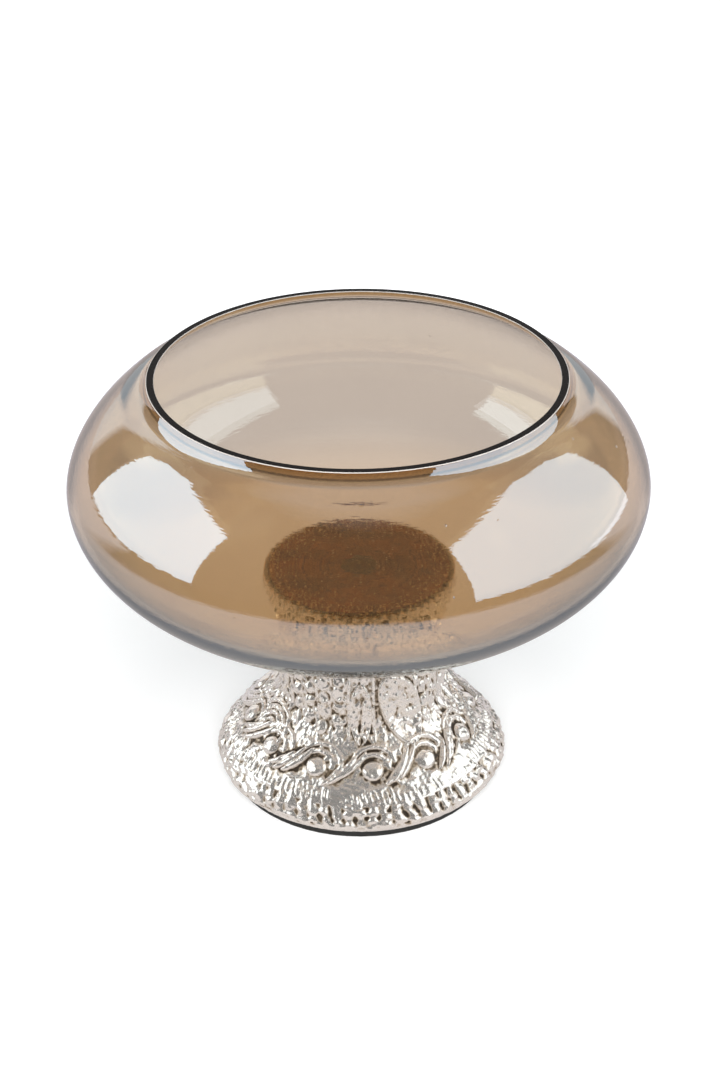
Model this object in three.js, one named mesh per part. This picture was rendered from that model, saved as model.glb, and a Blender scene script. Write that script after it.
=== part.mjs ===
// A footed bowl: blown glass with a ground rim, bonded onto a hollow cast metal pedestal.
// Millimetres, +Z up. The origin is the centre of the resting face, on the bowl's axis.

import * as THREE from 'three';

// Glass bowl. Its section is a superellipse above the widest plane and an ellipse below it.
const BOWL_RADIUS = 125; // widest outside radius
const RIM_RISE = 48.4; // from the widest plane up to the ground rim
const RIM_RADIUS = 88.5; // outer edge of the ground rim
const RIM_LAND = 3.4; // width of the flat ground face
const SHOULDER_EXPONENT = 1.8; // 2 is an ellipse, less is a straighter slope
const BELLY_DEPTH = 50.7; // from the widest plane down to the flat underside
const UNDERSIDE_RADIUS = 76.2; // where the lower ellipse runs into the underside
const HEEL_RADIUS = 44; // rounding between the ellipse and the underside
const SIDE_WALL = 3.2; // glass at the widest plane
const BASE_WALL = 5; // glass over the seat

// Cast pedestal. Its levels are measured up from the underside of the metal.
const PEDESTAL_HEIGHT = 94.7;
const FOOT_RADIUS = 66.9;
const FOOT_EDGE = 2.6; // round edge under the foot
const FOOT_LAND = 7.2; // flat ring that the pad is stuck to
const SHOULDER_LEVEL = 2.8; // the foot starts to draw in here
const WAIST_RADIUS = 36;
const WAIST_LEVEL = 42; // the foot has drawn in to the waist here
const NECK_LEVEL = 62; // the waist starts to open into the lip here
const LIP_RADIUS = 43;
const LIP_HEIGHT = 3.7;
const LIP_WIDTH = 2.2; // ring round the turned seat
const SEAT_DEPTH = 1.2; // seat below the top of the lip
const SEAT_PLATE = 5; // metal under the seat
const SEAT_HOLE_RADIUS = 8;
const CAST_WALL = 5;

// Ornament cast into the pedestal, in bands from the foot upwards.
const FLUTE_COUNT = 72; // an even number, as are the bosses, so half a turn maps the part onto itself
const FLUTE_BAND = 14.4;
const FLUTE_DEPTH = 0.7;
const BEAD_BAND = 3.2;
const BEAD_RISE = 0.9;
const BOSS_COUNT = 12;
const BOSS_BAND = 12;
const BOSS_RADIUS = 5.4;
const BOSS_RISE = 1.4;
const ORNAMENT_TURN = 5.6; // degrees round the axis, which puts one boss close to the front

// Large motifs of half a turn of the neck. Bearings are degrees to the right of the front, levels are
// of the middle, and a lean is in degrees to the right of upright.
const NECK_RISE = 1.2;
const NECK_MOTIFS = {
  petal: { bearing: 0, level: 45, length: 30, width: 10, lean: 0 },
  paisley: { bearing: 27, level: 45, length: 38, width: 19, lean: -17 },
  bud: { bearing: 14, level: 76, length: 20, width: 12, lean: 10 },
  tallLeaf: { bearing: 76, level: 48, length: 34, width: 7, lean: 18 },
  nextLeaf: { bearing: 90, level: 46, length: 34, width: 7, lean: 18 },
  highLeaf: { bearing: 82, level: 76, length: 22, width: 9, lean: -10 },
  fan: { bearing: -68, level: 34, length: 12, width: 20, lean: 0 },
  rib: { bearing: -64, level: 62, length: 34, width: 5, lean: 3 },
  nextRib: { bearing: -77, level: 62, length: 34, width: 5, lean: 3 },
};
const PEBBLE_BEARINGS = [-49, -38, -27, -16, 49, 60];
const PEBBLE_COUNT = 7; // in each upright column
const PEBBLE_PITCH = 7.4;
const PEBBLE_LENGTH = 5.8;
const PEBBLE_WIDTH = 5;
const LOWEST_PEBBLE = 36;

// Pad under the foot and bond under the glass.
const PAD_THICKNESS = 3.6;
const PAD_INSET = 3.2; // pad inside the edge of the foot
const LIP_CLEARANCE = 0.3; // between the lip and the glass
const BOND_CLEARANCE = 0.3; // between the bond and the lip round it

// Fineness of the facets: segments round the axis, and steps along each stretch of a section.
const TURNED_SEGMENTS = 60;
const COLUMNS_PER_FLUTE = 2;
const HEEL_STEPS = 3;
const CURVE_STEPS = 9;
const PEDESTAL_STEPS = { edge: 2, flutes: 3, bead: 2, bosses: 5, neck: 18, hollow: 6 };
const SOLVER_STEPS = 40;

const seatRadius = LIP_RADIUS - LIP_WIDTH;
const footEdgeRadius = FOOT_RADIUS - FOOT_EDGE;
const glassUnderside = PAD_THICKNESS + PEDESTAL_HEIGHT + LIP_CLEARANCE;
const widestLevel = glassUnderside + BELLY_DEPTH;

// Evenly spaced values from first up to, but not including, last.
function steps(first, last, count) {
  return Array.from({ length: count }, (_, i) => first + ((last - first) * i) / count);
}

// Where a rising function reaches zero between low and high.
function solveRising(f, low, high) {
  for (let i = 0; i < SOLVER_STEPS; i += 1) {
    const middle = (low + high) / 2;
    if (f(middle) < 0) low = middle;
    else high = middle;
  }
  return (low + high) / 2;
}

// Half section of one skin of the bowl, from its flat bottom on the axis up to the rim.
// Heights are measured from the widest plane.
function bowlSkin({ widest, depth, flat, heel, rim }) {
  const lowerHeight = depth / Math.sqrt(1 - (flat / widest) ** 2);
  const reach = 1 - (rim / widest) ** SHOULDER_EXPONENT;
  const upperHeight = RIM_RISE / reach ** (1 / SHOULDER_EXPONENT);

  // Point and outward normal of the lower ellipse, with angle 0 at the widest plane.
  const ellipse = (angle) => new THREE.Vector2(
    widest * Math.cos(angle),
    -lowerHeight * Math.sin(angle),
  );
  const normal = (angle) => new THREE.Vector2(
    Math.cos(angle) / widest,
    -Math.sin(angle) / lowerHeight,
  ).normalize();
  const heelCentre = (angle) => ellipse(angle).addScaledVector(normal(angle), -heel);

  // The heel touches the flat bottom where its centre stands one radius above it.
  const tangent = solveRising((angle) => heel - depth - heelCentre(angle).y, 0, Math.PI / 2);
  const centre = heelCentre(tangent);
  const heelEnd = normal(tangent).angle();
  const heelArc = steps(Math.PI * 1.5, heelEnd, HEEL_STEPS).map((angle) => new THREE.Vector2(
    centre.x + heel * Math.cos(angle),
    centre.y + heel * Math.sin(angle),
  ));
  const lower = steps(tangent, 0, CURVE_STEPS).map(ellipse);

  const rimAngle = Math.asin((RIM_RISE / upperHeight) ** (SHOULDER_EXPONENT / 2));
  const upper = [...steps(0, rimAngle, CURVE_STEPS), rimAngle].map((angle) => new THREE.Vector2(
    widest * Math.cos(angle) ** (2 / SHOULDER_EXPONENT),
    upperHeight * Math.sin(angle) ** (2 / SHOULDER_EXPONENT),
  ));
  return [new THREE.Vector2(0, -depth), ...heelArc, ...lower, ...upper];
}

// Turns a half section round the Z axis.
function turned(section) {
  return new THREE.LatheGeometry(section, TURNED_SEGMENTS).rotateX(Math.PI / 2);
}

function bowlGeometry() {
  const innerWidest = BOWL_RADIUS - SIDE_WALL;
  const outer = bowlSkin({
    widest: BOWL_RADIUS,
    depth: BELLY_DEPTH,
    flat: UNDERSIDE_RADIUS,
    heel: HEEL_RADIUS,
    rim: RIM_RADIUS,
  });
  const inner = bowlSkin({
    widest: innerWidest,
    depth: BELLY_DEPTH - BASE_WALL,
    flat: (UNDERSIDE_RADIUS * innerWidest) / BOWL_RADIUS,
    heel: HEEL_RADIUS - BASE_WALL,
    rim: RIM_RADIUS - RIM_LAND,
  });
  return turned([...outer, ...inner.reverse()]);
}

// A flat round disc standing on the plane z = 0.
function discGeometry(radius, thickness) {
  const section = [
    new THREE.Vector2(0, 0),
    new THREE.Vector2(radius, 0),
    new THREE.Vector2(radius, thickness),
    new THREE.Vector2(0, thickness),
  ];
  return turned(section);
}

function smooth(t) {
  const held = THREE.MathUtils.clamp(t, 0, 1);
  return held * held * (3 - 2 * held);
}

// Radius of the pedestal's outside at a level, without its ornament.
function plainRadius(level) {
  const drawn = smooth((level - SHOULDER_LEVEL) / (WAIST_LEVEL - SHOULDER_LEVEL));
  const lipLevel = PEDESTAL_HEIGHT - LIP_HEIGHT;
  const opened = THREE.MathUtils.clamp((level - NECK_LEVEL) / (lipLevel - NECK_LEVEL), 0, 1) ** 2;
  const edge = Math.max(0, FOOT_EDGE - level);
  const rounded = FOOT_EDGE - Math.sqrt(FOOT_EDGE ** 2 - edge ** 2);
  const body = THREE.MathUtils.lerp(FOOT_RADIUS, WAIST_RADIUS, drawn) - rounded;
  return body + (LIP_RADIUS - WAIST_RADIUS) * opened;
}

// The hollow keeps one wall inside the plain outside, and is no wider than the land leaves.
function hollowRadius(level) {
  return Math.min(footEdgeRadius - FOOT_LAND, plainRadius(level) - CAST_WALL);
}

// Half-round height of one motif of the neck at an angle and level, repeated after half a turn.
function motifHeight(angle, level, { bearing, level: middle, length, width, lean }) {
  const from = THREE.MathUtils.degToRad(bearing - ORNAMENT_TURN) - Math.PI / 2;
  const turn = angle - from;
  const right = (turn - Math.PI * Math.round(turn / Math.PI)) * plainRadius(middle);
  const offset = new THREE.Vector2(right, level - middle)
    .rotateAround(new THREE.Vector2(), THREE.MathUtils.degToRad(lean));
  const away = Math.min(1, Math.hypot(offset.x / (width / 2), offset.y / (length / 2)));
  return NECK_RISE * Math.sqrt(1 - away ** 2);
}

function pebble(bearing, column, index) {
  const level = LOWEST_PEBBLE + PEBBLE_PITCH * (index + (column % 2) / 2);
  return { bearing, level, length: PEBBLE_LENGTH, width: PEBBLE_WIDTH, lean: 0 };
}

const neckMotifs = [
  ...Object.values(NECK_MOTIFS),
  ...PEBBLE_BEARINGS.flatMap((bearing, column) => (
    Array.from({ length: PEBBLE_COUNT }, (_, index) => pebble(bearing, column, index))
  )),
];

// Radial height of the ornament over the plain outside.
function ornament(angle, level) {
  const ridge = (1 + Math.cos(FLUTE_COUNT * angle)) / 2;
  const beadLevel = FLUTE_BAND + BEAD_BAND / 2;
  const bossLevel = FLUTE_BAND + BEAD_BAND + BOSS_BAND / 2;

  const inFlutes = level > FOOT_EDGE / 2 && level < FLUTE_BAND;
  const flute = inFlutes ? FLUTE_DEPTH * (ridge - 1) : 0;

  const acrossBead = Math.min(1, Math.abs(level - beadLevel) / (BEAD_BAND / 2));
  const bead = BEAD_RISE * ridge * Math.sqrt(1 - acrossBead ** 2);

  const pitch = (2 * Math.PI) / BOSS_COUNT;
  const around = (angle - pitch * Math.round(angle / pitch)) * plainRadius(bossLevel);
  const away = Math.min(1, Math.hypot(around, level - bossLevel) / BOSS_RADIUS);
  const boss = BOSS_RISE * Math.sqrt(1 - away ** 2);
  const neck = Math.max(...neckMotifs.map((motif) => motifHeight(angle, level, motif)));
  return flute + bead + Math.max(boss, neck);
}

// Closed section of the pedestal: up the outside, over the lip and seat, down the hollow.
function pedestalSection() {
  const lipLevel = PEDESTAL_HEIGHT - LIP_HEIGHT;
  const beadTop = FLUTE_BAND + BEAD_BAND;
  const bossTop = beadTop + BOSS_BAND;
  const seatLevel = PEDESTAL_HEIGHT - SEAT_DEPTH;
  const ceiling = seatLevel - SEAT_PLATE;
  const outside = [
    ...steps(0, FOOT_EDGE, PEDESTAL_STEPS.edge),
    ...steps(FOOT_EDGE, FLUTE_BAND, PEDESTAL_STEPS.flutes),
    ...steps(FLUTE_BAND, beadTop, PEDESTAL_STEPS.bead),
    ...steps(beadTop, bossTop, PEDESTAL_STEPS.bosses),
    ...steps(bossTop, lipLevel, PEDESTAL_STEPS.neck),
    lipLevel,
    PEDESTAL_HEIGHT,
  ].map((level) => ({ radius: plainRadius(level), level, ornamented: true }));
  const seat = [
    { radius: seatRadius, level: PEDESTAL_HEIGHT },
    { radius: seatRadius, level: seatLevel },
    { radius: SEAT_HOLE_RADIUS, level: seatLevel },
    { radius: SEAT_HOLE_RADIUS, level: ceiling },
  ];
  const hollow = [0, ...steps(SHOULDER_LEVEL, ceiling, PEDESTAL_STEPS.hollow), ceiling]
    .map((level) => ({ radius: hollowRadius(level), level }));
  return [...outside, ...seat, ...hollow.reverse()];
}

// Turns the closed section, with the ornament standing out from its outside.
function pedestalGeometry() {
  const section = pedestalSection();
  const columns = FLUTE_COUNT * COLUMNS_PER_FLUTE;
  const positions = [];
  const triangles = [];
  for (let column = 0; column < columns; column += 1) {
    const angle = (2 * Math.PI * column) / columns;
    for (const { radius, level, ornamented } of section) {
      const reach = radius + (ornamented ? ornament(angle, level) : 0);
      positions.push(reach * Math.cos(angle), reach * Math.sin(angle), level);
    }
  }
  const vertex = (column, row) => (column % columns) * section.length + (row % section.length);
  for (let column = 0; column < columns; column += 1) {
    for (let row = 0; row < section.length; row += 1) {
      const here = vertex(column, row);
      const above = vertex(column, row + 1);
      const beside = vertex(column + 1, row);
      const across = vertex(column + 1, row + 1);
      triangles.push(here, beside, across, here, across, above);
    }
  }
  const geometry = new THREE.BufferGeometry();
  geometry.setAttribute('position', new THREE.Float32BufferAttribute(positions, 3));
  geometry.setIndex(triangles);
  geometry.computeVertexNormals();
  return geometry.rotateZ(THREE.MathUtils.degToRad(ORNAMENT_TURN));
}

function piece(name, geometry, base, look) {
  const mesh = new THREE.Mesh(geometry, new THREE.MeshStandardMaterial(look));
  mesh.name = name;
  mesh.position.z = base;
  return mesh;
}

const bowl = new THREE.Group();

bowl.add(piece('base_pad', discGeometry(footEdgeRadius - PAD_INSET, PAD_THICKNESS), 0, {
  color: 0x16140f,
  roughness: 0.9,
  metalness: 0,
}));

bowl.add(piece('cast_pedestal', pedestalGeometry(), PAD_THICKNESS, {
  color: 0xcdc3b4,
  roughness: 0.3,
  metalness: 1,
}));

const bondThickness = SEAT_DEPTH + LIP_CLEARANCE;
bowl.add(piece(
  'bond_disc',
  discGeometry(seatRadius - BOND_CLEARANCE, bondThickness),
  glassUnderside - bondThickness,
  { color: 0x6e5230, roughness: 0.4, metalness: 0 },
));

bowl.add(piece('glass_bowl', bowlGeometry(), widestLevel, {
  color: 0xb99f7c,
  roughness: 0.03,
  metalness: 0.2,
  transparent: true,
  opacity: 0.45,
}));

export default bowl;
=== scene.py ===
"""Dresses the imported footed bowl: lustre glass, an ornamented casting, a stage and a studio."""

import math

import bpy
import numpy as np
from mathutils import Matrix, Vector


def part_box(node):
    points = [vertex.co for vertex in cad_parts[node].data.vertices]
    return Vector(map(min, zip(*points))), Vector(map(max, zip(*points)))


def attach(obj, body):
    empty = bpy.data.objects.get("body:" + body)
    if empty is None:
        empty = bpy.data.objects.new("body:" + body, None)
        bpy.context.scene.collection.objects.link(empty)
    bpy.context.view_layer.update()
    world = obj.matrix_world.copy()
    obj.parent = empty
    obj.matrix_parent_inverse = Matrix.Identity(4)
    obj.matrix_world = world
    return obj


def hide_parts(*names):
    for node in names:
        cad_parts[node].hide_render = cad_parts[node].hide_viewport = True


MM = 0.001
DEGREE = math.pi / 180

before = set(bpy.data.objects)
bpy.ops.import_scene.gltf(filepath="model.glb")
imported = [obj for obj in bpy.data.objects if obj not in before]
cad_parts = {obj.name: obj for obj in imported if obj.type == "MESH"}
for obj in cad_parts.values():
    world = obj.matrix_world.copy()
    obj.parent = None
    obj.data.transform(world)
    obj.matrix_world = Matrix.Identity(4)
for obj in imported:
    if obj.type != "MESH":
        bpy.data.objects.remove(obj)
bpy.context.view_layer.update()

# Camera, found by fitting the photographed outline, rim and foot. Metres, degrees, and
# millimetres for lens and sensor.
CAMERA_BACK = 0.75849
CAMERA_ASIDE = 0.00039
CAMERA_HEIGHT = 0.56019
CAMERA_PITCH = 30.34
CAMERA_ROLL = -0.53
CAMERA_LENS = 66.67
SENSOR_HEIGHT = 36.0

# Driving sizes of the glass in millimetres, in the bowl's own section.
RIM_RADIUS = 88.5
RIM_LAND = 3.4
ARRIS = 0.25
COLLAR_WIDTH = 4.6
COLLAR_LIFT = 2.9
SHELF_WIDTH = 12.0
SHELF_DIP = 1.8
SHOULDER_EXPONENT = 1.8
BELLY_DEPTH = 50.7
UNDERSIDE_RADIUS = 76.2
HEEL_RADIUS = 44.0
SIDE_WALL = 3.2
BASE_WALL = 5.0

# Steps along the glass section. The shoulder's steps crowd towards the rim.
BOTTOM_STEPS = 24
HEEL_STEPS = 16
BELLY_STEPS = 48
SHOULDER_STEPS = 150
SHOULDER_CROWDING = 1.5
GLASS_COLUMNS = 288
SHARP_EDGE = 28

# Driving sizes of the casting in millimetres. Levels are over the underside of the metal. The
# foot's lower edge is rounded as the photograph shows it, more than in the CAD part.
FOOT_RADIUS = 66.9
EDGE_ROUNDING = 7.0
HOLLOW_RADIUS = 57.1
SHOULDER_LEVEL = 2.8
WAIST_RADIUS = 36.0
WAIST_LEVEL = 42.0
NECK_LEVEL = 62.0
LIP_RADIUS = 43.0
LIP_HEIGHT = 3.7
LIP_WIDTH = 2.2
LIP_ROUNDING = 1.1
LIP_BEADS = 66
LIP_NOTCH = 1.1
SEAT_DEPTH = 1.2
SEAT_PLATE = 5.0
SEAT_HOLE_RADIUS = 8.0
CAST_WALL = 5.0
CAST_COLUMNS = 840
CAST_ROW_STEP = 0.42

# Ornament of the foot in millimetres. An arch has its shift to the right in degrees, its shift
# up, reach, radius, half width, range of lift and share of a ring. A stroke has its place between
# two bosses and its length.
FLUTE_COUNT = 72
FLUTE_BAND = 14.4
FLUTE_DEPTH = 0.84
FLUTE_LEAN = 0.22
BEAD_BAND = 3.2
BOSS_COUNT = 12
BOSS_BAND = 12.0
BOSS_RADIUS = 4.7
BOSS_LIFT = (1.8, 2.3)
BOSS_TALLNESS = 0.92
BOSS_ARCHES = (
    (0.5, 0.3, 12, 7.0, 1.2, (1.2, 1.7), 0.52),
    (1.2, 0.6, 14, 10.0, 1.1, (0.9, 1.4), 0.46),
)
BOSS_STROKES = ((0.33, 14), (0.49, 18), (0.65, 18))
STROKE_WIDTH = (2.6, 3.6)
STROKE_LIFT = (1.3, 1.9)
STROKE_LEAN = 41
STROKE_BEND = 0.9
UPPER_BEADS = 72
UPPER_BEAD_LEVEL = 88.2

# The ornament is turned by these degrees, so that its bosses meet the photographed bearings.
ORNAMENT_TURN = 5.6
ORNAMENT_SEED = 5

# Large motifs of half a turn of the neck: bearing to the right of the front in degrees, level of
# the middle, length, width, and lean to the right in degrees.
NECK_MOTIFS = {
    "petal": (0, 45, 30, 10, 0),
    "paisley": (27, 45, 38, 19, -17),
    "bud": (14, 76, 20, 12, 10),
    "tallLeaf": (76, 48, 34, 7, 18),
    "nextLeaf": (90, 46, 34, 7, 18),
    "highLeaf": (82, 76, 22, 9, -10),
    "rib": (-64, 62, 34, 5, 3),
    "nextRib": (-77, 62, 34, 5, 3),
}
PEBBLE_BEARINGS = (-49, -38, -27, -16, 49, 60)
PEBBLE_COUNT = 7
PEBBLE_PITCH = 7.4
PEBBLE_LENGTH = 5.8
PEBBLE_WIDTH = 5.0
LOWEST_PEBBLE = 36.0
SCALLOP_RADII = (3.4, 6.4, 9.4, 12.4)

# Rough ground of the casting: height in millimetres, grain in columns and in rows, and seed.
GROUND_GRAIN = (0.24, 2.3, 1.9, 1)
GROUND_WAVES = (0.26, 7.0, 6.0, 3)
GROUND_PITS = (-0.4, 1.9, 1.7, 4)
TOP_GRAIN = (0.09, 1.3, 1.2, 2)
TOP_WAVES = (0.10, 3.2, 2.8, 6)

# Pits start over this many standard deviations of their field. The grain grows by this share
# towards the lip. No relief rises higher than this, in millimetres.
PIT_LEAST = 1.3
ROUGH_NECK = 1.5
HIGHEST_RELIEF = 4.0

# Turning marks of the seat and of the bond over it: their count, depth and mesh columns, and how
# far the bond's mesh stays under the glass. Millimetres.
SEAT_RINGS = 50
SEAT_GROOVE = 0.04
BOND_RINGS = 90
BOND_GROOVE = 0.035
BOND_COLUMNS = 180
BOND_CLEARANCE = 0.08

# Patina: grid steps of the blur that finds the hollows, depth of a full hollow in millimetres,
# and the share on the lip, the seat and the inside.
HOLLOW_BLUR = 5
FULL_HOLLOW = 0.55
PLAIN_PATINA = 0.35

# Glass: heights over the table in metres where its tint changes, the tints, the film in
# nanometres, and the ripples in metres. A limb is glass darkened at a grazing view, partly for
# its longer path through the wall and partly as painted shade for the dark room it reflects.
# It fades out under the shelf and comes back at the collar.
BASE_TINT_TOP = 0.118
BASE_TINT_BOTTOM = 0.104
RIM_TINT_BOTTOM = 0.1935
RIM_TINT_TOP = 0.1958
COLLAR_FOOT = 0.1936
FOLD_FADE = 0.0004
FOLD_SHARE = 0.85
LIMB_FADE = (0.168, 0.178)
LIMB_RETURN = (0.1925, 0.1935)
LIMB_GRAZING = (0.66, 0.96)
LIMB_SHARE = 0.70
WALL_TINTS = ((0.86, 0.735, 0.56), (0.82, 0.705, 0.54))
BASE_TINT = (0.96, 0.77, 0.54)
RIM_TINT = (0.46, 0.28, 0.12)
# Painted shade: the dark colour that grazing views of the glass turn towards, partly for the longer
# path and partly for the dark room reflected at the limb.
LIMB_SHADE = (0.09, 0.08, 0.09)
# Painted reflection: the colour of the dark line at the collar's foot, standing in for the dark rim
# mirrored in the inner wall.
FOLD_SHADE = (0.06, 0.045, 0.035)
GLASS_IOR = 1.5
LUSTRE_THICKNESS = 30.0
LUSTRE_IOR = 2.5
STREAK_BUMP = 0.000024
SEED_BUMP = 0.00012
OUTER_WAVE_BUMP = 0.00008
INNER_WAVE_BUMP = 0.00006

# Colours of the casting and of the seat under the bond.
SILVERS = ((1.0, 0.95, 0.89), (0.95, 0.87, 0.81))
BROWN_PATINA = (0.40, 0.30, 0.20)
BLACK_PATINA = (0.045, 0.032, 0.022)
SEAT_BROWNS = ((0.10, 0.032, 0.004), (0.80, 0.31, 0.036))
SEAT_SPOT = (0.10, 0.055, 0.025)
SEAT_FLECKS = (1.0, 0.74, 0.36)

# The floor as glass and metal see it. Ranges are in metres from the object's axis.
TABLE_REACH = (0.50, 0.65)
TABLE_SHOWN = (0.60, 0.57, 0.56)
TABLE_ASIDE = (0.50, 0.48, 0.49)
TABLE_SIDES = (0.05, 0.16)
BEHIND_SHOWN = (0.76, 0.78, 0.92)
BEHIND_ASIDE = (0.74, 0.65, 0.63)
BEHIND_SIDES = (0.12, 0.30)
BEHIND_RANGE = (0.05, 0.25)
FLOOR_SIZE = 12
FLOOR_GREY = 0.82
FLOOR_GLOW = 0.27
GLOW_RANGE = (0.12, 0.60)

# The room as glass and metal see it: bearings in degrees from straight behind the object, and
# ranges of the upward part of the direction.
BACKDROP_TONE = 0.85
BACKDROP_LEFT = (-44, -40)
BACKDROP_RIGHT = (34, 38)
BACKDROP_TOP = (0.80, 0.95)
CEILING_TONE = 0.22
CEILING_RANGE = (0.88, 0.97)
ROOM_TONE = 0.01

# Lamps: metres and watts. A softbox has its tone, its bearings and its rises in degrees.
SOFTBOXES = (
    ("left softbox", 1.85, (-120, -62), (2, 45)),
    ("right softbox", 1.4, (62, 140), (-3, 50)),
)
SOFTBOX_REACH = 1.25
SOFTBOX_BASE = 0.12
LAMP_COLOUR = (0.93, 1.0, 1.02)
FILL_SIZE = (1.2, 0.6)
FILL_BACK = 1.3
FILL_HEIGHT = 1.0
FILL_ENERGY = 28.0

WHITE = (1, 1, 1, 1)

# Sockets of the Mix node for colours.
MIX_FIRST = 6
MIX_SECOND = 7
MIX_RESULT = 2


def feed(tree, target, inputs):
    """Gives sockets of a node their values, or links the sockets that feed them."""
    for name, value in inputs.items():
        if isinstance(value, bpy.types.NodeSocket):
            tree.links.new(value, target.inputs[name])
        else:
            target.inputs[name].default_value = value


def node(tree, kind, inputs=None, **settings):
    """Adds a shader node."""
    made = tree.nodes.new(kind)
    for name, value in settings.items():
        setattr(made, name, value)
    feed(tree, made, inputs or {})
    return made


def math_node(tree, operation, first, second=0.0):
    return node(tree, "ShaderNodeMath", {0: first, 1: second}, operation=operation).outputs[0]


def colour_mix(tree, share, first, second):
    """A colour between two others. Each is an RGB triple or a socket."""
    inputs = {"Factor": share}
    for socket, value in ((MIX_FIRST, first), (MIX_SECOND, second)):
        inputs[socket] = value if isinstance(value, bpy.types.NodeSocket) else (*value, 1)
    return node(tree, "ShaderNodeMix", inputs, data_type="RGBA").outputs[MIX_RESULT]


def ramp(tree, value, low, high, to_low=0.0, to_high=1.0):
    """Maps low..high onto to_low..to_high and holds the ends."""
    inputs = {
        "Value": value,
        "From Min": low,
        "From Max": high,
        "To Min": to_low,
        "To Max": to_high,
    }
    return node(tree, "ShaderNodeMapRange", inputs).outputs[0]


def noise(tree, vector, scale, detail=2.0, roughness=0.5):
    inputs = {"Vector": vector, "Scale": scale, "Detail": detail, "Roughness": roughness}
    return node(tree, "ShaderNodeTexNoise", inputs).outputs["Fac"]


def stretched(tree, vector, scale):
    """The vector, scaled along each axis."""
    return node(tree, "ShaderNodeMapping", {"Vector": vector, "Scale": scale}).outputs[0]


def bump(tree, height, distance, under=None):
    """A bumped normal, over another one or over the plain surface."""
    inputs = {"Height": height, "Distance": distance}
    if under is not None:
        inputs["Normal"] = under
    return node(tree, "ShaderNodeBump", inputs).outputs[0]


def material(name):
    """A new material and its tree and Principled shader."""
    made = bpy.data.materials.new(name)
    made.use_nodes = True
    return made, made.node_tree, made.node_tree.nodes["Principled BSDF"]


def emptied(owner):
    """The node tree of a new material or world, without its first nodes."""
    owner.use_nodes = True
    owner.node_tree.nodes.clear()
    return owner.node_tree


def place(tree):
    return node(tree, "ShaderNodeTexCoord").outputs["Object"]


def parts_of(tree, vector):
    return node(tree, "ShaderNodeSeparateXYZ", {0: vector}).outputs


def length_of(tree, vector):
    return node(tree, "ShaderNodeVectorMath", {0: vector}, operation="LENGTH").outputs["Value"]


def attribute(tree, name, output):
    return node(tree, "ShaderNodeAttribute", attribute_name=name).outputs[output]


def amber_tint(tree):
    """Colour of the light that one wall lets through, by height, and darker at a grazing view:
    partly the longer path through the glass, partly painted shade for the dark room reflected
    there.
    """
    cloud = ramp(tree, noise(tree, place(tree), 14.0, 3.0), 0.3, 0.7)
    height = parts_of(tree, place(tree))["Z"]
    wall = colour_mix(tree, cloud, *WALL_TINTS)
    low = colour_mix(tree, ramp(tree, height, BASE_TINT_TOP, BASE_TINT_BOTTOM), wall, BASE_TINT)
    tint = colour_mix(tree, ramp(tree, height, RIM_TINT_BOTTOM, RIM_TINT_TOP), low, RIM_TINT)
    grazing = node(tree, "ShaderNodeLayerWeight", {"Blend": 0.5}).outputs["Facing"]
    below_shelf = ramp(tree, height, *LIMB_FADE, 1.0, 0.0)
    sides = math_node(tree, "MAXIMUM", below_shelf, ramp(tree, height, *LIMB_RETURN))
    # Painted shade: at a grazing view the tint turns towards the dark limb colour, standing in
    # partly for the dark room reflected there.
    limb_shade = math_node(tree, "MULTIPLY", ramp(tree, grazing, *LIMB_GRAZING, 0.0, LIMB_SHARE), sides)
    return colour_mix(tree, limb_shade, tint, LIMB_SHADE)


def glass_material(name, tint_of, ripples_of, film):
    """Smooth refracting glass, with the thin oxide film of the lustre or without it.

    Tint_of and ripples_of build its colour and its normal in its tree.
    """
    made, tree, shader = material(name)
    feed(tree, shader, {
        "Base Color": tint_of(tree),
        "Normal": ripples_of(tree),
        "Roughness": 0.0,
        "IOR": GLASS_IOR,
        "Transmission Weight": 1.0,
    })
    if film:
        feed(tree, shader, {"Thin Film Thickness": LUSTRE_THICKNESS, "Thin Film IOR": LUSTRE_IOR})
    return made


def outer_ripples(tree):
    """Streaks round the bowl from its spinning, over small seeds and soft waves."""
    spun = attribute(tree, "spun", "Vector")
    streaks = noise(tree, stretched(tree, spun, (200.0, 200.0, 1100.0)), 1.0, 1.0)
    waves = noise(tree, place(tree), 22.0, 1.0)
    cells = node(tree, "ShaderNodeTexVoronoi", {"Vector": place(tree), "Scale": 70.0})
    seeds = ramp(tree, cells.outputs["Distance"], 0.02, 0.045, 1.0, 0.0)
    seeded = bump(tree, seeds, SEED_BUMP, bump(tree, waves, OUTER_WAVE_BUMP))
    return bump(tree, streaks, STREAK_BUMP, seeded)


def inner_ripples(tree):
    return bump(tree, noise(tree, place(tree), 26.0, 1.0), INNER_WAVE_BUMP)


def inner_tint(tree):
    """The amber tint, with a painted reflection at the foot of the collar: a dark line standing in
    for the dark rim mirrored in the inner wall.
    """
    height = parts_of(tree, place(tree))["Z"]
    # Painted reflection: a narrow dark band at the collar's foot, in place of the dark rim mirrored
    # in the inner wall.
    rising = ramp(tree, height, COLLAR_FOOT - FOLD_FADE, COLLAR_FOOT)
    fading = (COLLAR_FOOT + FOLD_FADE, COLLAR_FOOT + 2 * FOLD_FADE)
    fold_shade = math_node(tree, "MULTIPLY", rising, ramp(tree, height, *fading, FOLD_SHARE, 0.0))
    return colour_mix(tree, fold_shade, amber_tint(tree), FOLD_SHADE)


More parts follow.
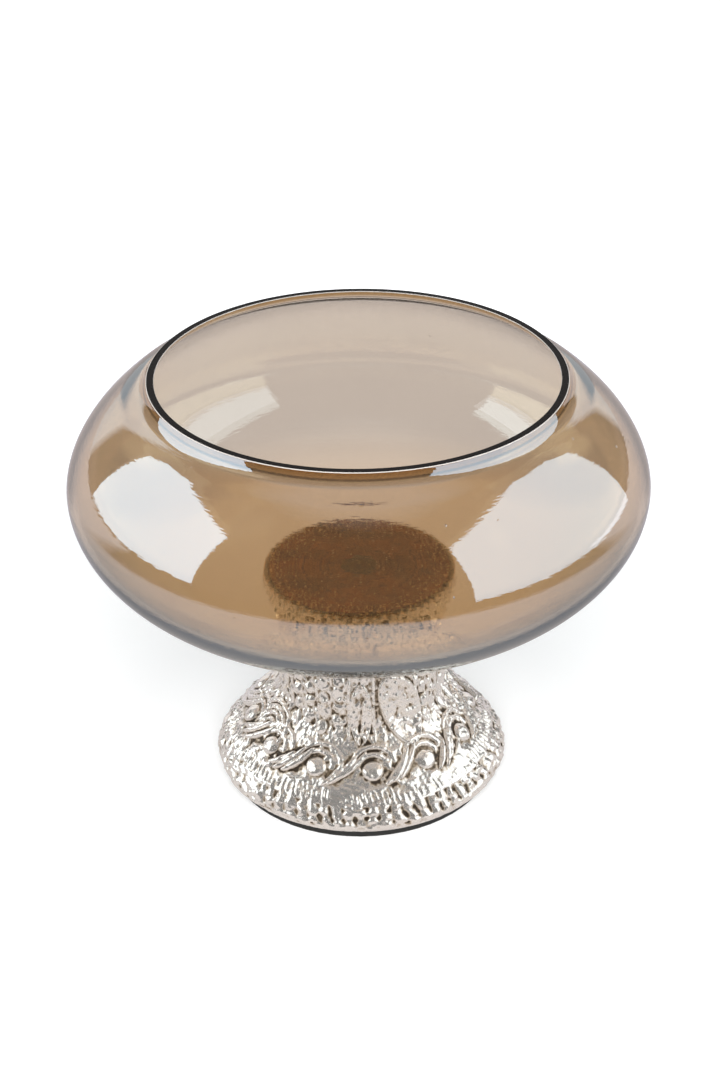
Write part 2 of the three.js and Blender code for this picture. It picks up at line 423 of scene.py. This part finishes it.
def painted_dark_rim_material():
    """The ground and polished rim, painted near black as shade: the dark colour stands in for
    looking down the length of the tinted wall.
    """
    made, tree, shader = material("ground rim")
    grain = noise(tree, place(tree), 900.0, 3.0)
    feed(tree, shader, {
        # Painted shade: a near-black colour in place of the darkness seen down the length of the
        # tinted wall.
        "Base Color": colour_mix(tree, grain, (0.004, 0.003, 0.003), (0.011, 0.008, 0.007)),
        "Roughness": ramp(tree, grain, 0.3, 0.7, 0.22, 0.38),
        "Normal": bump(tree, grain, 0.00002),
        "Specular IOR Level": 0.04,
    })
    return made


def arris_material():
    """The small bevels on both sides of the ground rim, matt from the grinding."""
    made, tree, shader = material("rim bevel")
    grain = noise(tree, place(tree), 1400.0)
    feed(tree, shader, {
        "Base Color": colour_mix(tree, grain, (0.55, 0.50, 0.46), (0.75, 0.70, 0.66)),
        "Roughness": ramp(tree, grain, 0.3, 0.7, 0.3, 0.5),
    })
    return made


def casting_material():
    """Silver plate over a rough casting, with brown and black patina left in its hollows."""
    made, tree, shader = material("plated casting")
    hollow = attribute(tree, "hollow", "Fac")
    spots = noise(tree, place(tree), 800.0, 4.0, 0.6)
    clouds = noise(tree, place(tree), 45.0)
    spotted = math_node(tree, "MULTIPLY", ramp(tree, spots, 0.35, 0.75), 0.30)
    reach = math_node(tree, "ADD", hollow, spotted)
    clouded = math_node(tree, "ADD", reach, ramp(tree, clouds, 0.3, 0.7, -0.2, 0.2))
    stain = ramp(tree, clouded, 0.45, 1.0)
    brown = colour_mix(tree, stain, colour_mix(tree, clouds, *SILVERS), BROWN_PATINA)
    feed(tree, shader, {
        "Base Color": colour_mix(tree, ramp(tree, clouded, 0.85, 1.15), brown, BLACK_PATINA),
        "Roughness": ramp(tree, stain, 0.0, 1.0, 0.19, 0.45),
        "Normal": bump(tree, spots, 0.00012),
        "Metallic": ramp(tree, stain, 0.2, 1.0, 0.82, 0.45),
    })
    return made


def bond_material():
    """The turned seat seen through the set adhesive: brown rings, a dark spot and golden flecks."""
    made, tree, shader = material("bonded seat")
    spun = attribute(tree, "spun", "Vector")
    rings = noise(tree, stretched(tree, spun, (0.6, 0.6, 900.0)), 1.0, 3.0, 0.6)
    specks = noise(tree, place(tree), 700.0, 3.0, 0.6)
    clouds = noise(tree, stretched(tree, place(tree), (45.0, 90.0, 45.0)), 1.0, 4.0, 0.6)
    cloudy = ramp(tree, clouds, 0.35, 0.65, 0.3, 1.0)
    mottled = math_node(tree, "MULTIPLY", ramp(tree, rings, 0.3, 0.7), cloudy)
    across = stretched(tree, place(tree), (1.0, 1.0, 0.0))
    uneven = ramp(tree, noise(tree, across, 120.0), 0.3, 0.7, -0.0015, 0.0015)
    radius = math_node(tree, "ADD", length_of(tree, across), uneven)
    spot = ramp(tree, radius, 0.0070, 0.0090, 0.75, 0.0)
    centred = colour_mix(tree, spot, colour_mix(tree, mottled, *SEAT_BROWNS), SEAT_SPOT)
    worn = math_node(tree, "ADD", specks, ramp(tree, radius, 0.026, 0.040, 0.0, 0.10))
    feed(tree, shader, {
        "Base Color": colour_mix(tree, ramp(tree, worn, 0.62, 0.68), centred, SEAT_FLECKS),
        "Roughness": ramp(tree, specks, 0.3, 0.7, 0.30, 0.45),
        "Normal": bump(tree, rings, 0.00008, bump(tree, specks, 0.00005)),
        "Metallic": 0.8,
    })
    return made


def pad_material():
    """Black foam rubber with open pores."""
    made, tree, shader = material("foam pad")
    pores = noise(tree, place(tree), 1500.0, 3.0, 0.6)
    feed(tree, shader, {
        "Base Color": colour_mix(tree, pores, (0.012, 0.012, 0.012), (0.035, 0.034, 0.032)),
        "Roughness": ramp(tree, pores, 0.3, 0.7, 0.75, 0.95),
        "Normal": bump(tree, pores, 0.0002),
    })
    return made


def smooth(value):
    held = np.clip(value, 0, 1)
    return held * held * (3 - 2 * held)


def spread(first, last, count):
    """Even values from first up to, but not including, last."""
    return first + (last - first) * np.arange(count) / count


def bowl_skin(widest, depth, flat, heel, rim, rise):
    """Half section of one skin, from the axis up to the rim.

    Each point has its radius and its height over the widest plane.
    """
    lower = depth / math.sqrt(1 - (flat / widest) ** 2)
    plain_rise = rise - COLLAR_LIFT + SHELF_DIP
    upper = plain_rise / (1 - (rim / widest) ** SHOULDER_EXPONENT) ** (1 / SHOULDER_EXPONENT)

    def normal(angle):
        across = np.array([math.cos(angle) / widest, -math.sin(angle) / lower])
        return across / np.linalg.norm(across)

    def heel_centre(angle):
        on_belly = np.array([widest * math.cos(angle), -lower * math.sin(angle)])
        return on_belly - heel * normal(angle)

    low, high = 0.0, math.pi / 2
    for _ in range(50):
        middle = (low + high) / 2
        if heel_centre(middle)[1] > heel - depth:
            low = middle
        else:
            high = middle
    centre = heel_centre(low)
    across = normal(low)
    heel_end = math.atan2(across[1], across[0]) % (2 * math.pi)
    bottom = [(radius, -depth) for radius in spread(0.0, centre[0], BOTTOM_STEPS)]
    turn = spread(1.5 * math.pi, heel_end, HEEL_STEPS)
    arc = np.column_stack([centre[0] + heel * np.cos(turn), centre[1] + heel * np.sin(turn)])
    belly = spread(low, 0.0, BELLY_STEPS)
    under = np.column_stack([widest * np.cos(belly), -lower * np.sin(belly)])
    rim_angle = math.asin((plain_rise / upper) ** (SHOULDER_EXPONENT / 2))
    share = 1 - (1 - np.linspace(0.0, 1.0, SHOULDER_STEPS)) ** SHOULDER_CROWDING
    shoulder = rim_angle * share
    power = 2 / SHOULDER_EXPONENT
    over = np.column_stack([widest * np.cos(shoulder) ** power, upper * np.sin(shoulder) ** power])
    away = over[:, 0] - rim
    collar = COLLAR_LIFT * np.clip(1 - away / COLLAR_WIDTH, 0, 1) ** 2
    over[:, 1] += collar - SHELF_DIP * smooth(1 - away / SHELF_WIDTH)
    return np.vstack([bottom, arc, under, over])


def spin(name, section, columns, slots, lift=0.0):
    """Turns a section in millimetres round the axis, on which it starts and ends.

    Slots give the material of each stretch. The spun attribute holds the direction from the axis
    and the distance along the section, for streaks and rings.
    """
    section = np.asarray(section, float)
    along = np.concatenate([[0.0], np.cumsum(np.hypot(*np.diff(section, axis=0).T))])
    between = section[1:-1]
    angle = 2 * math.pi * np.arange(columns) / columns
    ring = np.column_stack([np.cos(angle), np.sin(angle)])
    points = np.empty((columns, len(between), 3))
    points[:, :, :2] = ring[:, None, :] * between[None, :, :1]
    points[:, :, 2] = between[:, 1] + lift
    spun = np.empty_like(points)
    spun[:, :, :2] = ring[:, None, :] * 0.1
    spun[:, :, 2] = along[1:-1] * MM
    poles = np.array([[0, 0, section[0, 1] + lift], [0, 0, section[-1, 1] + lift]])
    pole_spun = np.array([[0, 0, 0], [0, 0, along[-1] * MM]])
    piece = grid_mesh(name, points, slots, poles)
    made = piece.data.attributes.new("spun", "FLOAT_VECTOR", "POINT")
    vectors = np.vstack([spun.reshape(-1, 3), pole_spun])
    made.data.foreach_set("vector", vectors.ravel().astype(np.float32))
    return piece


def grid_mesh(name, points, slots, poles=None):
    """Joins columns of points in millimetres into a closed mesh.

    Two poles on the axis close an open section. Without them the section closes on itself.
    """
    columns, rows, _ = points.shape
    here = np.arange(columns)[:, None] * rows
    beside = np.roll(here, -1, axis=0)
    row = np.arange(rows if poles is None else rows - 1)[None, :]
    above = (row + 1) % rows
    quads = np.stack([here + row, beside + row, beside + above, here + above], axis=-1)
    vertices = points.reshape(-1, 3)
    faces = quads.reshape(-1, 4).tolist()
    chosen = list(slots if poles is None else slots[1:-1]) * columns
    if poles is not None:
        first_pole = len(vertices)
        vertices = np.vstack([vertices, poles])
        pairs = list(zip(here[:, 0].tolist(), beside[:, 0].tolist()))
        faces += [(first_pole, b, a) for a, b in pairs]
        faces += [(first_pole + 1, a + rows - 1, b + rows - 1) for a, b in pairs]
        chosen += [slots[0]] * columns + [slots[-1]] * columns
    mesh = bpy.data.meshes.new(name)
    mesh.from_pydata((vertices * MM).tolist(), [], faces)
    mesh.polygons.foreach_set("material_index", chosen)
    mesh.shade_smooth()
    mesh.update()
    piece = bpy.data.objects.new(name, mesh)
    bpy.context.scene.collection.objects.link(piece)
    return piece


def dress(piece, node_name, materials):
    """Gives a piece its materials and lets it stand for a CAD node."""
    for made in materials:
        piece.data.materials.append(made)
    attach(piece, "root")
    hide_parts(node_name)


def make_glass():
    """One closed shell: outer skin, outer bevel, ground rim, inner bevel, inner skin."""
    low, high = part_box("glass_bowl")
    widest = high.x / MM
    bottom = low.z / MM
    rise = high.z / MM - bottom - BELLY_DEPTH
    inner_widest = widest - SIDE_WALL
    inner_flat = UNDERSIDE_RADIUS * inner_widest / widest
    inner_rim = RIM_RADIUS - RIM_LAND
    outer = bowl_skin(widest, BELLY_DEPTH, UNDERSIDE_RADIUS, HEEL_RADIUS, RIM_RADIUS, rise)
    inner_depth = BELLY_DEPTH - BASE_WALL
    inner_heel = HEEL_RADIUS - BASE_WALL
    inner = bowl_skin(inner_widest, inner_depth, inner_flat, inner_heel, inner_rim, rise)
    outer = outer[outer[:, 1] < rise - ARRIS]
    inner = inner[inner[:, 1] < rise - ARRIS]
    land = [
        (RIM_RADIUS + ARRIS * 0.3, rise - ARRIS),
        (RIM_RADIUS - ARRIS, rise),
        (inner_rim + ARRIS, rise),
        (inner_rim + ARRIS * 0.3, rise - ARRIS),
    ]
    section = np.vstack([outer, land, inner[::-1]])
    slots = [0] * len(outer) + [2, 1, 2] + [3] * len(inner)
    piece = spin("lustre_bowl", section, GLASS_COLUMNS, slots, bottom + BELLY_DEPTH)
    piece.data.set_sharp_from_angle(angle=SHARP_EDGE * DEGREE)
    looks = [
        glass_material("lustre glass", amber_tint, outer_ripples, True),
        painted_dark_rim_material(),
        arris_material(),
        glass_material("clear inner skin", inner_tint, inner_ripples, False),
    ]
    dress(piece, "glass_bowl", looks)


def plain_radius(level, height):
    """Radius of the casting's outside at a level, without its ornament."""
    drawn = smooth((level - SHOULDER_LEVEL) / (WAIST_LEVEL - SHOULDER_LEVEL))
    opened = np.clip((level - NECK_LEVEL) / (height - LIP_HEIGHT - NECK_LEVEL), 0, 1) ** 2
    edge = np.maximum(0, EDGE_ROUNDING - level)
    rounded = EDGE_ROUNDING - np.sqrt(EDGE_ROUNDING ** 2 - edge ** 2)
    body = FOOT_RADIUS + (WAIST_RADIUS - FOOT_RADIUS) * drawn - rounded
    return body + (LIP_RADIUS - WAIST_RADIUS) * opened


def blurred(field, grain_columns, grain_rows):
    """The field under a Gaussian blur of that many grid steps, round and round."""
    across = np.fft.fftfreq(field.shape[0])[:, None] * grain_columns
    up = np.fft.rfftfreq(field.shape[1])[None, :] * grain_rows
    kept = np.exp(-2 * math.pi ** 2 * (across ** 2 + up ** 2))
    return np.fft.irfft2(np.fft.rfft2(field) * kept, s=field.shape)


def random_field(shape, grain_columns, grain_rows, seed):
    """Smooth random heights with a standard deviation of one and a grain in grid steps."""
    soft = blurred(np.random.default_rng(seed).standard_normal(shape), grain_columns, grain_rows)
    return soft / soft.std()


class Relief:
    """Heights in millimetres over the casting's outside, on a grid of angles and rows."""

    def __init__(self, height):
        fine = np.linspace(0, height - LIP_HEIGHT, 4000)
        radius = plain_radius(fine, height)
        path = np.concatenate([[0.0], np.cumsum(np.hypot(np.diff(fine), np.diff(radius)))])
        rows = int(path[-1] / CAST_ROW_STEP)
        self.path = np.linspace(0, path[-1], rows)
        self.level = np.interp(self.path, path, fine)
        self.radius = plain_radius(self.level, height)
        self.angle = 360.0 * np.arange(CAST_COLUMNS) / CAST_COLUMNS
        self.height = np.zeros((CAST_COLUMNS, rows))
        slope_radius = np.gradient(self.radius, self.path)
        slope_level = np.gradient(self.level, self.path)
        self.normal = np.column_stack([slope_level, -slope_radius])

    def stamp(self, bearing, level, reach, shape):
        """Raises a motif at a bearing in degrees and a level. Shape gets mm to the right and up."""
        middle = np.interp(level, self.level, self.path)
        radius = np.interp(level, self.level, self.radius)
        rows = np.abs(self.path - middle) < reach
        off = (self.angle - bearing + 180) % 360 - 180
        columns = np.abs(off) * DEGREE * radius < reach
        right = off[columns][:, None] * DEGREE * self.radius[rows][None, :]
        up = (self.path[rows] - middle)[None, :]
        window = np.ix_(columns, rows)
        self.height[window] = np.maximum(self.height[window], shape(right, up))

    def roughen(self, share, grain, least=None):
        """Adds a random field, where share allows it. With least only the peaks over it count."""
        lift, grain_columns, grain_rows, seed = grain
        field = random_field(self.height.shape, grain_columns, grain_rows, seed)
        if least is not None:
            field = np.clip(field - least, 0, 1)
        self.height += share * lift * field


def round_top(distance, half_width):
    """Half-round profile across a ridge, one at its crest."""
    return np.sqrt(np.clip(1 - (distance / half_width) ** 2, 0, 1))


def dome(radius, rise, tall):
    return lambda right, up: rise * round_top(np.hypot(right, up / tall), radius)


def crescent(radius, half_width, rise, share):
    """The upper part of a ring, thinning towards its ends."""
    def shape(right, up):
        turn = np.abs(np.arctan2(right, up)) / math.pi
        thin = np.clip(1 - turn / share, 0, 1) ** 0.5
        return rise * thin * round_top(np.hypot(right, up) - radius, half_width)
    return shape


def leaf(length, width, rise, tilt, bend=0.0):
    """A pointed stroke, tilted from upright in degrees and bent like a sickle."""
    turn = tilt * DEGREE

    def shape(right, up):
        along = (up * math.cos(turn) + right * math.sin(turn)) / (length / 2)
        across = right * math.cos(turn) - up * math.sin(turn) - bend * (1 - along ** 2)
        half = width / 2 * np.sqrt(np.clip(1 - along ** 2, 1e-6, 1))
        return rise * round_top(across, half) * (np.abs(along) < 1)
    return shape


def bordered(thickness):
    """Turns a leaf of height one into its border, as a rounded ridge."""
    def finish(made):
        def border(right, up):
            inside = made(right, up)
            return thickness * np.clip(4 * inside * (1 - inside), 0, 1)
        return border
    return finish


def filled(rise, power=1):
    """Turns a leaf of height one into a leaf of that rise. A higher power makes it sharper."""
    return lambda made: lambda right, up: rise * made(right, up) ** power


def add_bosses(relief, dice):
    """Domed bosses round the shoulder under double arches, with slanting strokes between them."""
    level = FLUTE_BAND + BEAD_BAND + BOSS_BAND / 2
    pitch = 360 / BOSS_COUNT
    for index in range(BOSS_COUNT):
        bearing = index * pitch + dice.uniform(-1.0, 1.0)
        relief.stamp(bearing, level, 6, dome(BOSS_RADIUS, dice.uniform(*BOSS_LIFT), BOSS_TALLNESS))
        for right, up, reach, radius, half_width, lift, share in BOSS_ARCHES:
            arch = crescent(radius, half_width, dice.uniform(*lift), share)
            relief.stamp(bearing + right, level + up, reach, arch)
        for step, length in BOSS_STROKES:
            aside = bearing + step * pitch + dice.uniform(-1.0, 1.0)
            above = level + 4 * (step - 0.42) + dice.uniform(-0.8, 0.8)
            width = dice.uniform(*STROKE_WIDTH)
            lift = dice.uniform(*STROKE_LIFT)
            lean = STROKE_LEAN + dice.uniform(-7, 6)
            relief.stamp(aside, above, 14, leaf(length, width, lift, lean, STROKE_BEND))


def add_pebbles(relief, front, dice):
    """Staggered upright columns of oval pebbles."""
    for column, bearing in enumerate(PEBBLE_BEARINGS):
        for index in range(PEBBLE_COUNT):
            level = LOWEST_PEBBLE + PEBBLE_PITCH * (index + (column % 2) / 2)
            width = PEBBLE_WIDTH / 2 * dice.uniform(0.8, 1.15)
            tall = PEBBLE_LENGTH / PEBBLE_WIDTH * dice.uniform(0.9, 1.3)
            aside = front + bearing + dice.uniform(-1.2, 1.2)
            middle = level + dice.uniform(-0.6, 0.6)
            relief.stamp(aside, middle, 6, dome(width, dice.uniform(1.0, 1.6), tall))


def add_dashes(relief, front, bearings, low, high, dice):
    """Upright rows of short thin dashes, from one level to another."""
    for bearing in bearings:
        level = low + dice.uniform(0, 3)
        while level < high:
            length = dice.uniform(4, 9)
            dash = leaf(length, 1.9, dice.uniform(0.7, 1.2), dice.uniform(-6, 6))
            relief.stamp(front + bearing, level, 8, dash)
            level += length * 0.8


def add_motif(relief, front, name, finish, bend=0.0):
    """Stamps a large motif of the neck, as what finish makes of its leaf."""
    bearing, level, length, width, lean = NECK_MOTIFS[name]
    relief.stamp(front + bearing, level, length, finish(leaf(length, width, 1.0, lean, bend)))


def add_neck(relief, front, dice):
    """Half a turn of the neck: the large motifs, pebbles, a scallop and rows of dashes."""
    add_motif(relief, front, "petal", bordered(1.5))
    relief.stamp(front + 1, 43, 12, leaf(17, 2.6, 1.4, 4, 1.0))
    add_motif(relief, front, "paisley", bordered(1.9), 2.0)
    add_motif(relief, front, "paisley", filled(0.8, 2), 2.0)
    for name in ("bud", "highLeaf"):
        add_motif(relief, front, name, bordered(1.5))
        add_motif(relief, front, name, filled(0.9))
    for name in ("tallLeaf", "nextLeaf", "rib", "nextRib"):
        add_motif(relief, front, name, filled(1.5), 1.0)
    add_pebbles(relief, front, dice)
    for radius in SCALLOP_RADII:
        relief.stamp(front - 66, 27, 16, crescent(radius, 1.2, 1.4, 0.62))
    add_dashes(relief, front, (-90, -84, -71, -58), 36, 86, dice)
    add_dashes(relief, front, (-8, 9, 41, 67), 34, 86, dice)


def add_flutes(relief):
    """Slightly wandering and worn flutes round the foot, and a finer bead line over them."""
    wander = random_field(relief.height.shape, 12, 9, 11) * 0.6
    slant = (relief.level[None, :] - FLUTE_BAND / 2) * FLUTE_LEAN
    lean = slant / relief.radius[None, :] / DEGREE
    phase = FLUTE_COUNT * (relief.angle[:, None] + lean) * DEGREE + wander
    ridge = (1 + np.cos(phase)) / 2
    level = relief.level[None, :]
    band = smooth((level - 2.0) / 7.0) * smooth((FLUTE_BAND + 0.6 - level) / 2.4)
    worn = np.clip(0.85 + 0.4 * random_field(relief.height.shape, 16, 12, 12), 0.25, 1.3)
    relief.height -= FLUTE_DEPTH * band * worn * (1 - ridge ** 0.7)
    bead_level = FLUTE_BAND + BEAD_BAND / 2
    groove = np.exp(-((level - bead_level + 0.2) / 1.5) ** 2)
    relief.height -= 1.1 * groove
    relief.height += 1.5 * groove * smooth((1 + np.cos(2 * phase)) * 0.7 - 0.3)


def add_upper_beads(relief):
    """A row of small beads right under the lip."""
    for index in range(UPPER_BEADS):
        relief.stamp(index * 360 / UPPER_BEADS, UPPER_BEAD_LEVEL, 4, dome(1.55, 1.1, 1.1))


def ornament(height):
    """The whole relief. Under the foot's shoulder it never rises over the plain surface."""
    relief = Relief(height)
    dice = np.random.default_rng(ORNAMENT_SEED)
    for half in (0, 180):
        add_neck(relief, half - 90 - ORNAMENT_TURN, dice)
    add_upper_beads(relief)
    add_flutes(relief)
    body = smooth((relief.level - 0.5) / 3)[None, :]
    rough = body * (1 + ROUGH_NECK * smooth((relief.level - 66) / 14))[None, :]
    relief.roughen(rough, GROUND_GRAIN)
    relief.roughen(body, GROUND_WAVES)
    relief.roughen(body, GROUND_PITS, PIT_LEAST)
    add_bosses(relief, dice)
    relief.roughen(rough, TOP_GRAIN)
    relief.roughen(body, TOP_WAVES)
    ceiling = HIGHEST_RELIEF * smooth((relief.level - SHOULDER_LEVEL) / 8)
    relief.height = np.minimum(relief.height, ceiling[None, :])
    return relief


def lip_and_inside(height, rounding):
    """The rest of the casting's section: rounded lip, turned seat, hole and plain hollow."""
    seat_radius = LIP_RADIUS - LIP_WIDTH
    seat_level = height - SEAT_DEPTH
    under_seat = seat_level - SEAT_PLATE
    lip = [(LIP_RADIUS, height - LIP_HEIGHT + 1.0)]
    for angle in rounding:
        across = seat_radius + LIP_WIDTH / 2 * (1 + math.cos(angle))
        lip.append((across, height - LIP_ROUNDING + LIP_ROUNDING * math.sin(angle)))
    seat = [
        (radius, seat_level - SEAT_GROOVE * (index % 2))
        for index, radius in enumerate(np.linspace(seat_radius, SEAT_HOLE_RADIUS, SEAT_RINGS))
    ]
    inside = [(SEAT_HOLE_RADIUS, under_seat)]
    for level in np.append(np.linspace(under_seat, 3, 24), 0.0):
        inside.append((min(HOLLOW_RADIUS, plain_radius(level, height) - CAST_WALL), level))
    return np.array(lip + seat + inside)


def make_casting():
    """The casting as one closed mesh: relief outside, notched lip, seat and plain hollow inside."""
    low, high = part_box("cast_pedestal")
    height = (high.z - low.z) / MM
    relief = ornament(height)
    radius = relief.radius[None, :] + relief.height * relief.normal[None, :, 0]
    level = relief.level[None, :] + relief.height * relief.normal[None, :, 1]
    level[:, 0] = 0.0

    rounding = np.linspace(0, math.pi, 12)
    rest = lip_and_inside(height, rounding)
    rest_level = np.tile(rest[:, 1], (CAST_COLUMNS, 1))
    notch = (1 - np.cos(LIP_BEADS * relief.angle * DEGREE)) / 2
    crown = np.sin(rounding)[None, :] ** 0.5
    rest_level[:, 1:1 + len(rounding)] -= LIP_NOTCH * notch[:, None] * crown

    rows = relief.height.shape[1] + len(rest)
    turn = (relief.angle[:, None] + ORNAMENT_TURN) * DEGREE
    all_radius = np.hstack([radius, np.tile(rest[:, 0], (CAST_COLUMNS, 1))])
    points = np.empty((CAST_COLUMNS, rows, 3))
    points[:, :, 0] = all_radius * np.cos(turn)
    points[:, :, 1] = all_radius * np.sin(turn)
    points[:, :, 2] = np.hstack([level, rest_level]) + low.z / MM
    piece = grid_mesh("ornate_casting", points, [0] * rows)

    sunk = blurred(relief.height, HOLLOW_BLUR, HOLLOW_BLUR) - relief.height
    hollow = np.clip(sunk / FULL_HOLLOW, 0, 1)
    shade = np.hstack([hollow, np.full((CAST_COLUMNS, len(rest)), PLAIN_PATINA)])
    made = piece.data.attributes.new("hollow", "FLOAT", "POINT")
    made.data.foreach_set("value", shade.ravel().astype(np.float32))
    dress(piece, "cast_pedestal", [casting_material()])


def make_bond():
    """The bond as seen from above: the rings of the turned seat and the spot at its centre."""
    low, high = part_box("bond_disc")
    radius = high.x / MM
    bottom = low.z / MM
    top = high.z / MM - BOND_CLEARANCE
    upper = [(radius, bottom), (radius, top - 0.1)]
    for index, ring_radius in enumerate(np.linspace(radius - 0.3, SEAT_HOLE_RADIUS, BOND_RINGS)):
        upper.append((ring_radius, top - BOND_GROOVE * (index % 3)))
    centre = [
        (SEAT_HOLE_RADIUS - 0.4, top - 0.5),
        (SEAT_HOLE_RADIUS * 0.5, top - 0.55),
        (0, top - 0.5),
    ]
    section = [(0, bottom)] + upper + centre
    piece = spin("bonded_seat", section, BOND_COLUMNS, [0] * (len(section) - 1))
    dress(piece, "bond_disc", [bond_material()])


def make_stage():
    """A pale floor that keeps the object's shadow. Glass and metal see it in its own tones."""
    bpy.ops.mesh.primitive_plane_add(size=FLOOR_SIZE)
    floor = bpy.context.object
    floor.name = "floor"
    made = bpy.data.materials.new("pale table")
    tree = emptied(made)
    rays = node(tree, "ShaderNodeLightPath").outputs
    mirrored = math_node(tree, "MAXIMUM", rays["Is Glossy Ray"], rays["Is Transmission Ray"])
    spot = parts_of(tree, place(tree))
    reach = length_of(tree, place(tree))
    aside = math_node(tree, "ABSOLUTE", spot["X"])
    table = colour_mix(tree, ramp(tree, aside, *TABLE_SIDES), TABLE_SHOWN, TABLE_ASIDE)
    near = colour_mix(tree, ramp(tree, reach, *TABLE_REACH), table, (0.0, 0.0, 0.0))
    beyond = colour_mix(tree, ramp(tree, aside, *BEHIND_SIDES), BEHIND_SHOWN, BEHIND_ASIDE)
    shown = colour_mix(tree, ramp(tree, spot["Y"], *BEHIND_RANGE), near, beyond)
    grey = (FLOOR_GREY, FLOOR_GREY, FLOOR_GREY, 1)
    lit = node(tree, "ShaderNodeBsdfDiffuse", {"Color": grey}).outputs[0]
    strength = ramp(tree, reach, *GLOW_RANGE, FLOOR_GLOW, 1.0)
    glow = node(tree, "ShaderNodeEmission", {"Color": WHITE, "Strength": strength}).outputs[0]
    seen = node(tree, "ShaderNodeAddShader", {0: lit, 1: glow}).outputs[0]
    tone = node(tree, "ShaderNodeEmission", {"Color": shown, "Strength": 1.0}).outputs[0]
    mixed = node(tree, "ShaderNodeMixShader", {0: mirrored, 1: seen, 2: tone}).outputs[0]
    node(tree, "ShaderNodeOutputMaterial", {"Surface": mixed})
    floor.data.materials.append(made)


def make_world():
    """White to the camera, a backdrop behind the object, and a dark room elsewhere."""
    world = bpy.data.worlds.new("studio")
    bpy.context.scene.world = world
    tree = emptied(world)
    rays = node(tree, "ShaderNodeLightPath").outputs
    parts = parts_of(tree, node(tree, "ShaderNodeTexCoord").outputs["Generated"])
    bearing = math_node(tree, "ARCTAN2", parts["X"], parts["Y"])
    left = ramp(tree, bearing, *(DEGREE * edge for edge in BACKDROP_LEFT))
    right = ramp(tree, bearing, *(DEGREE * edge for edge in BACKDROP_RIGHT), 1.0, 0.0)
    low = ramp(tree, parts["Z"], *BACKDROP_TOP, 1.0, 0.0)
    wall = math_node(tree, "MULTIPLY", math_node(tree, "MULTIPLY", left, right), low)
    ceiling = ramp(tree, parts["Z"], *CEILING_RANGE, 0.0, CEILING_TONE)
    backdrop = ramp(tree, wall, 0.0, 1.0, ROOM_TONE, BACKDROP_TONE)
    tone = math_node(tree, "MAXIMUM", backdrop, ceiling)
    strength = math_node(tree, "MAXIMUM", rays["Is Camera Ray"], tone)
    glow = node(tree, "ShaderNodeBackground", {"Color": WHITE, "Strength": strength}).outputs[0]
    node(tree, "ShaderNodeOutputWorld", {"Surface": glow})


def add_lamp(name, size, energy, location, turn):
    """A rectangular area light that the camera doesn't see."""
    light = bpy.data.lights.new(name, "AREA")
    light.shape = "RECTANGLE"
    light.size, light.size_y = size
    light.energy = energy
    lamp = bpy.data.objects.new(name, light)
    lamp.location = location
    lamp.rotation_euler = turn
    lamp.visible_camera = False
    bpy.context.scene.collection.objects.link(lamp)
    return lamp


def make_softboxes():
    """Upright light panels, each filling its bearings and rises as seen from the object."""
    for name, tone, bearings, rises in SOFTBOXES:
        middle = (bearings[0] + bearings[1]) / 2 * DEGREE
        width = 2 * SOFTBOX_REACH * math.tan((bearings[1] - bearings[0]) / 2 * DEGREE)
        bottom, top = (SOFTBOX_BASE + SOFTBOX_REACH * math.tan(rise * DEGREE) for rise in rises)
        energy = tone * math.pi * width * (top - bottom)
        across = SOFTBOX_REACH * math.sin(middle), SOFTBOX_REACH * math.cos(middle)
        location = (*across, (bottom + top) / 2)
        turn = (math.pi / 2, 0, math.pi - middle)
        lamp = add_lamp(name, (width, top - bottom), energy, location, turn)
        lamp.data.color = LAMP_COLOUR


def make_fill():
    """Soft light from over the camera. It shows in no reflection, so glass and metal stay calm."""
    location = (0, -FILL_BACK, FILL_HEIGHT)
    turn = (math.atan2(FILL_BACK, FILL_HEIGHT), 0, 0)
    lamp = add_lamp("front fill", FILL_SIZE, FILL_ENERGY, location, turn)
    lamp.visible_glossy = False
    lamp.visible_transmission = False


def make_camera():
    data = bpy.data.cameras.new("photograph")
    data.lens = CAMERA_LENS
    data.sensor_fit = "VERTICAL"
    data.sensor_height = SENSOR_HEIGHT
    camera = bpy.data.objects.new("photograph", data)
    camera.location = (CAMERA_ASIDE, -CAMERA_BACK, CAMERA_HEIGHT)
    tilt = Matrix.Rotation((90 - CAMERA_PITCH) * DEGREE, 3, "X")
    camera.rotation_euler = (tilt @ Matrix.Rotation(CAMERA_ROLL * DEGREE, 3, "Z")).to_euler()
    bpy.context.scene.collection.objects.link(camera)
    bpy.context.scene.camera = camera


bpy.context.scene.view_settings.view_transform = "Standard"
make_camera()
make_stage()
make_world()
make_softboxes()
make_fill()
make_glass()
make_casting()
make_bond()
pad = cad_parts["base_pad"]
pad.data.materials.clear()
pad.data.materials.append(pad_material())
